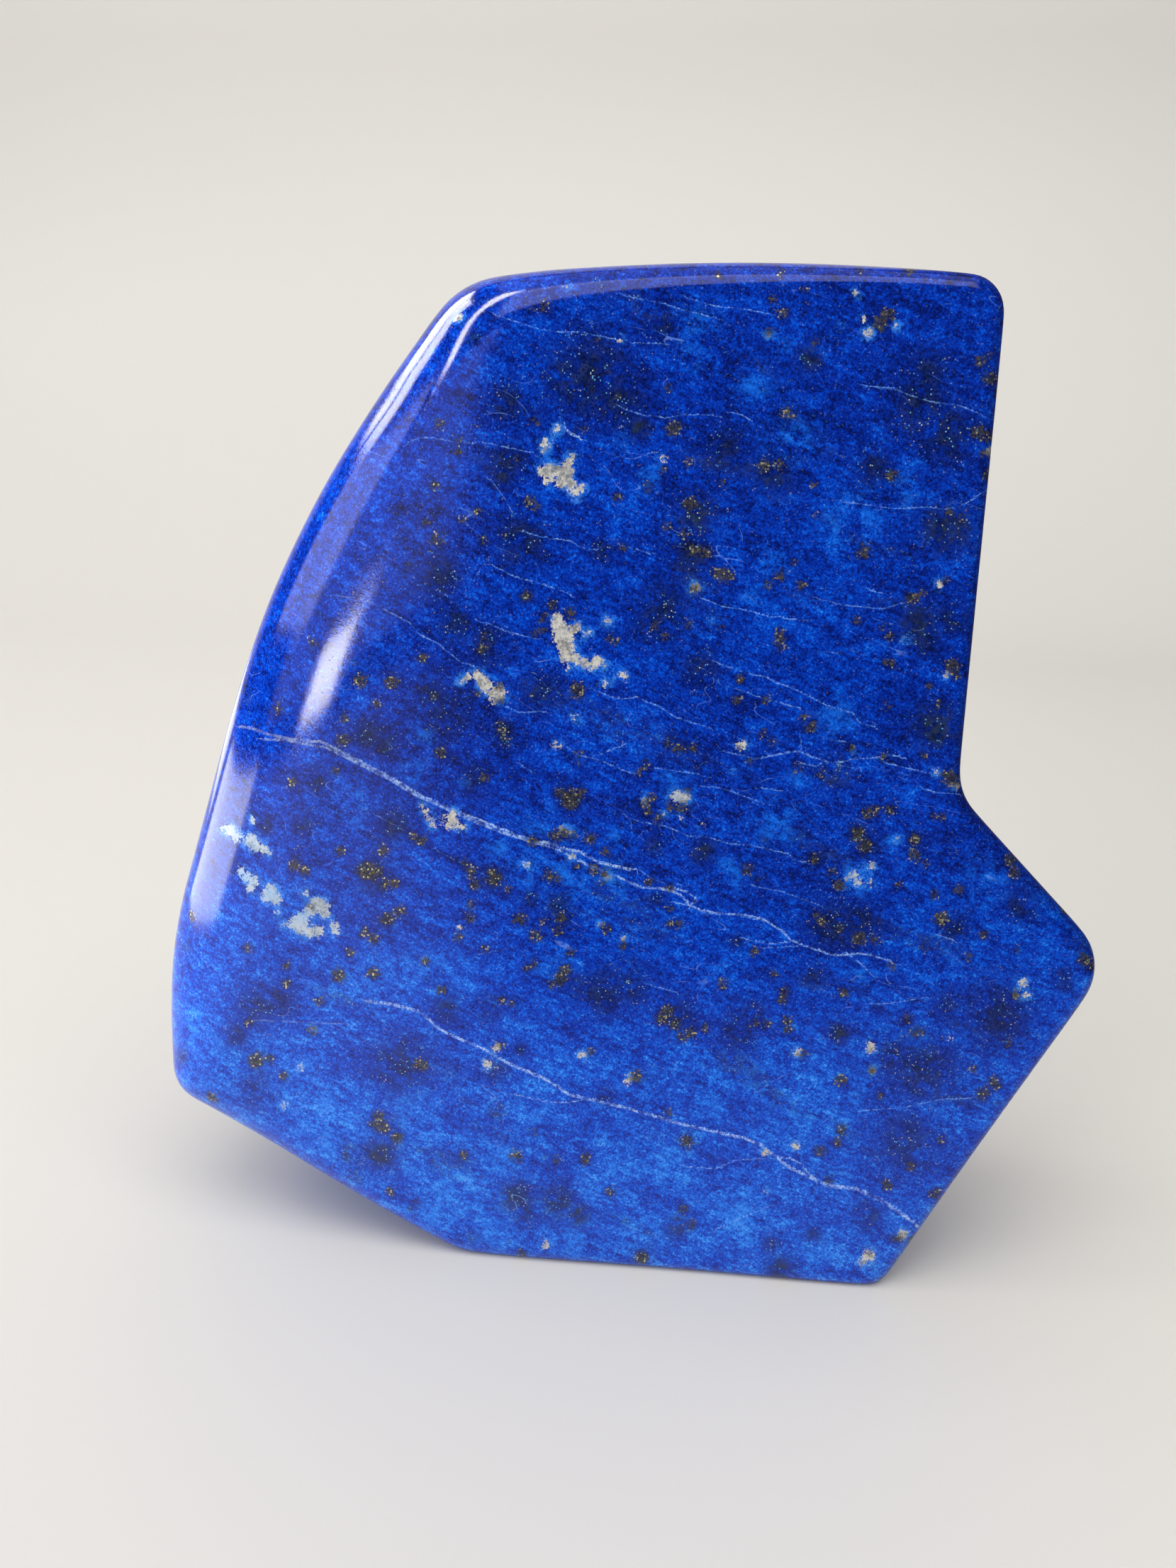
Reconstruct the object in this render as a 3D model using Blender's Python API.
"""A polished lapis lazuli freeform: one thick, upright slab of stone with rounded edges.

The slab's outline is a polygon with rounded corners, with an open notch on the right. Its front face leans
back a little, its back face leans forward, and the edges of both roll over into the sides, widest on the
left. The foot is ground flat, so that the stone stands. Lengths are in metres, +Z is up, and the front
faces -Y.
"""

import math
from collections import namedtuple

import bmesh
import bpy
from mathutils import Vector

MM = 0.001

# The whole stone
HALF_WIDTH = 72 * MM
HALF_HEIGHT = 75 * MM
FOOT_DEPTH = 42 * MM  # front to back at the foot
FRONT_LEAN = math.radians(5)  # the front face leans back as it rises
BACK_LEAN = math.radians(2)  # the back face leans forward as it rises
FOOT_GRIND = 0.8 * MM  # ground off the rounded underside to make the flat foot

# How far the edges of a face fall back from its middle, across and up the stone
FRONT_CROWN = (1.6 * MM, 0.6 * MM)
BACK_CROWN = (3.0 * MM, 2.0 * MM)
SIDE_CROWN = 0.7 * MM  # how far the middle of a side stands out
SIDE_TAPER = 3.5 * MM  # the back's outline lies this far inside the front's, except at the foot

# The low, broad waves that hand polishing leaves on the two faces
WAVE_HEIGHT = 0.15 * MM
WAVE_LENGTH = 58 * MM

# The rolled edges turn slowly at first and faster towards the side
ROLL_EASE = 1.5
BACK_ROLL = 10 * MM
BACK_ROLL_DEPTH = 7 * MM

# Fineness of the surface
OUTLINE_STEP = 5 * MM
ARC_STEP = math.radians(14)
ROLL_STEPS = 7
SIDE_STEPS = 3
FACE_STEPS = 5
SUMS_A_STEP = 40  # short steps that add up to one step of a roll

# How the shape softens away from its outline: rolls change slowly along it, and inner rings lose its corners
SOFTEN_ROLLS = 8
SOFTEN_RINGS = 5
SOFT_INSET = 9 * MM  # a ring this far inside the outline is softened in full

STONE_BLUE = (0.008, 0.033, 0.50, 1.0)
STONE_ROUGHNESS = 0.12

# One corner of the outline, seen from the front: its place before rounding, its radius, and how wide and
# how deep the front edge rolls over there
Corner = namedtuple("Corner", "x z radius roll depth")
OUTLINE = (
    Corner(-22.3 * MM, -FOOT_GRIND, 9 * MM, 3.5 * MM, 3.5 * MM),  # foot, left end
    Corner(46.2 * MM, -FOOT_GRIND, 5 * MM, 3.0 * MM, 3.5 * MM),  # foot, right end
    Corner(74.0 * MM, 57.0 * MM, 9 * MM, 2.2 * MM, 3.0 * MM),  # tip below the notch
    Corner(49.3 * MM, 81.6 * MM, 10 * MM, 2.0 * MM, 3.0 * MM),  # notch
    Corner(48.2 * MM, 148.9 * MM, 5 * MM, 1.8 * MM, 3.0 * MM),  # top, right end
    Corner(14.0 * MM, 151.7 * MM, 250 * MM, 1.3 * MM, 2.5 * MM),  # top, middle
    Corner(-22.7 * MM, 148.0 * MM, 13 * MM, 9.0 * MM, 7.0 * MM),  # shoulder
    Corner(-44.7 * MM, 121.4 * MM, 120 * MM, 20.0 * MM, 10.0 * MM),  # left side, upper
    Corner(-57.3 * MM, 94.0 * MM, 150 * MM, 24.0 * MM, 11.0 * MM),  # left side, middle
    Corner(-73.7 * MM, 44.6 * MM, 60 * MM, 22.0 * MM, 11.0 * MM),  # left side, lower
    Corner(-73.0 * MM, 22.8 * MM, 7 * MM, 12.0 * MM, 8.0 * MM),  # lower left
)
MIDDLE = Vector((0, 70 * MM))  # every point of the outline can be seen from here


def fillet(before, corner, after):
    """The points of the arc that rounds a corner, from the edge before it to the edge after it."""
    here = Vector((corner.x, corner.z))
    back = (Vector((before.x, before.z)) - here).normalized()
    on = (Vector((after.x, after.z)) - here).normalized()
    half = back.angle(on) / 2
    reach = corner.radius / math.tan(half)
    centre = here + (back + on).normalized() * corner.radius / math.sin(half)
    start = here + back * reach - centre
    turn = math.pi - 2 * half
    if back.cross(on) > 0:
        turn = -turn
    steps = max(2, math.ceil(abs(turn) / ARC_STEP))
    arc = []
    for i in range(steps + 1):
        angle = turn * i / steps
        cos, sin = math.cos(angle), math.sin(angle)
        arc.append(centre + Vector((cos * start.x - sin * start.y, sin * start.x + cos * start.y)))
    return arc


def softened(values, passes, weights=None):
    """Values along the closed outline, each drawn towards its neighbours' mean in every pass."""
    count = len(values)
    weights = weights or [1] * count
    for _ in range(passes):
        means = [(values[i - 1] + values[(i + 1) % count]) / 2 for i in range(count)]
        values = [v + (m - v) * w / 2 for v, m, w in zip(values, means, weights)]
    return values


def rounded_outline():
    """The outline's points, rolls and depths, counter-clockwise, with its long stretches divided."""
    arcs = []
    for i, corner in enumerate(OUTLINE):
        arcs.append(fillet(OUTLINE[i - 1], corner, OUTLINE[(i + 1) % len(OUTLINE)]))
    points, rolls, depths = [], [], []
    for i, arc in enumerate(arcs):
        corner, after = OUTLINE[i], OUTLINE[(i + 1) % len(OUTLINE)]
        points += arc
        rolls += [corner.roll] * len(arc)
        depths += [corner.depth] * len(arc)
        start, end = arc[-1], arcs[(i + 1) % len(arcs)][0]
        steps = max(1, round((end - start).length / OUTLINE_STEP))
        for k in range(1, steps):
            part = k / steps
            ease = part * part * (3 - 2 * part)
            points.append(start.lerp(end, part))
            rolls.append(corner.roll + (after.roll - corner.roll) * ease)
            depths.append(corner.depth + (after.depth - corner.depth) * ease)
    return points, softened(rolls, SOFTEN_ROLLS), softened(depths, SOFTEN_ROLLS)


def roll_profile():
    """The rolled edge's section as (share of its width, share of its depth), from the face to the side."""
    total = ROLL_STEPS * SUMS_A_STEP
    across, back = 0.0, 0.0
    section = [(0.0, 0.0)]
    for k in range(total):
        turn = math.pi / 2 * ((k + 0.5) / total) ** ROLL_EASE
        across += math.cos(turn)
        back += math.sin(turn)
        if (k + 1) % SUMS_A_STEP == 0:
            section.append((across, back))
    return [(a / across, b / back) for a, b in section]


def wave(x, z):
    """The height of the polisher's waves at a place on a face."""
    turn = 2 * math.pi / WAVE_LENGTH
    return WAVE_HEIGHT * (math.sin(turn * (x + 0.4 * z)) + math.sin(turn * (0.8 * z - 0.5 * x) + 1.3))


def crown(x, z, across, up):
    return across * (x / HALF_WIDTH) ** 2 + up * (z / HALF_HEIGHT - 1) ** 2


def front_y(x, z):
    return z * math.tan(FRONT_LEAN) + crown(x, z, *FRONT_CROWN) + wave(x, z)


def back_y(x, z):
    return FOOT_DEPTH - z * math.tan(BACK_LEAN) - crown(x, z, *BACK_CROWN) + wave(-x, z)


def outward_directions(points):
    found = []
    for i, point in enumerate(points):
        along = points[(i + 1) % len(points)] - points[i - 1]
        found.append(Vector((along.y, -along.x)).normalized())
    return found


def inset(points, outward, distances):
    """The outline moved inwards by these distances, each point on its straight line to the middle."""
    moved = []
    for point, out, distance in zip(points, outward, distances):
        radial = point - MIDDLE
        slant = max(0.5, radial.normalized().dot(out))
        moved.append(point - radial.normalized() * distance / slant)
    weights = [min(1, max(0, distance / SOFT_INSET)) for distance in distances]
    return softened(moved, SOFTEN_RINGS, weights)


def ring_points():
    """The stone's rings, from the middle of the front over the edge and round to the middle of the back."""
    outline, rolls, depths = rounded_outline()
    outward = outward_directions(outline)
    tapers = softened([SIDE_TAPER * min(1, 1 + out.y) for out in outward], SOFTEN_ROLLS)
    section = roll_profile()
    rings = []
    for k in range(1, FACE_STEPS):
        edge = inset(outline, outward, rolls)
        places = [MIDDLE.lerp(at, k / FACE_STEPS) for at in edge]
        rings.append([(at.x, front_y(at.x, at.y), at.y) for at in places])
    for across, back in section:
        places = inset(outline, outward, [roll * (1 - across) for roll in rolls])
        rings.append([(at.x, front_y(at.x, at.y) + d * back, at.y) for at, d in zip(places, depths)])
    for k in range(1, SIDE_STEPS):
        part = k / SIDE_STEPS
        stand = SIDE_CROWN * math.sin(math.pi * part)
        places = inset(outline, outward, [taper * part - stand for taper in tapers])
        rings.append([])
        for at, depth in zip(places, depths):
            start = front_y(at.x, at.y) + depth
            end = back_y(at.x, at.y) - BACK_ROLL_DEPTH
            rings[-1].append((at.x, start + (end - start) * part, at.y))
    for across, back in reversed(section):
        places = inset(outline, outward, [taper + BACK_ROLL * (1 - across) for taper in tapers])
        rings.append([(at.x, back_y(at.x, at.y) - BACK_ROLL_DEPTH * back, at.y) for at in places])
    for k in range(FACE_STEPS - 1, 0, -1):
        edge = inset(outline, outward, [taper + BACK_ROLL for taper in tapers])
        places = [MIDDLE.lerp(at, k / FACE_STEPS) for at in edge]
        rings.append([(at.x, back_y(at.x, at.y), at.y) for at in places])
    return rings


def loft(mesh, rings):
    """Skins the rings, and closes the first and the last with a fan to the middle of the face."""
    loops = [[mesh.verts.new(point) for point in ring] for ring in rings]
    count = len(loops[0])
    for inner, outer in zip(loops, loops[1:]):
        for i in range(count):
            j = (i + 1) % count
            mesh.faces.new((inner[i], inner[j], outer[j], outer[i]))
    for loop, surface in ((loops[0], front_y), (loops[-1], back_y)):
        tip = mesh.verts.new((MIDDLE.x, surface(MIDDLE.x, MIDDLE.y), MIDDLE.y))
        for i in range(count):
            mesh.faces.new((tip, loop[i], loop[(i + 1) % count]))
    bmesh.ops.recalc_face_normals(mesh, faces=mesh.faces)


def grind_foot(mesh):
    """Cuts the stone off flat at the height that it stands on, and closes the cut."""
    everything = mesh.verts[:] + mesh.edges[:] + mesh.faces[:]
    cut = bmesh.ops.bisect_plane(
        mesh, geom=everything, plane_co=(0, 0, 0), plane_no=(0, 0, -1), clear_outer=True
    )
    rim = [item for item in cut["geom_cut"] if isinstance(item, bmesh.types.BMEdge)]
    bmesh.ops.contextual_create(mesh, geom=rim)
    bmesh.ops.dissolve_degenerate(mesh, edges=mesh.edges, dist=0.02 * MM)
    bmesh.ops.recalc_face_normals(mesh, faces=mesh.faces)


def centre_on_foot(mesh):
    """Puts the origin under the middle of the stone, at the height of its foot."""
    xs = [vertex.co.x for vertex in mesh.verts]
    ys = [vertex.co.y for vertex in mesh.verts]
    middle = Vector(((min(xs) + max(xs)) / 2, (min(ys) + max(ys)) / 2, 0))
    bmesh.ops.translate(mesh, verts=mesh.verts, vec=-middle)


def stone_material():
    material = bpy.data.materials.new("lapis")
    material.use_nodes = True
    shader = material.node_tree.nodes["Principled BSDF"]
    shader.inputs["Base Color"].default_value = STONE_BLUE
    shader.inputs["Roughness"].default_value = STONE_ROUGHNESS
    shader.inputs["Metallic"].default_value = 0.0
    return material


def make_stone(collection):
    mesh = bmesh.new()
    loft(mesh, ring_points())
    grind_foot(mesh)
    centre_on_foot(mesh)
    data = bpy.data.meshes.new("lapis_stone")
    mesh.to_mesh(data)
    mesh.free()
    data.shade_smooth()
    data.set_sharp_from_angle(angle=math.radians(40))
    data.materials.append(stone_material())
    stone = bpy.data.objects.new("lapis_stone", data)
    collection.objects.link(stone)
    return stone


for old in list(bpy.data.objects):
    bpy.data.objects.remove(old, do_unlink=True)

freeform = bpy.data.collections.new("lapis_freeform")
bpy.context.scene.collection.children.link(freeform)
make_stone(freeform)
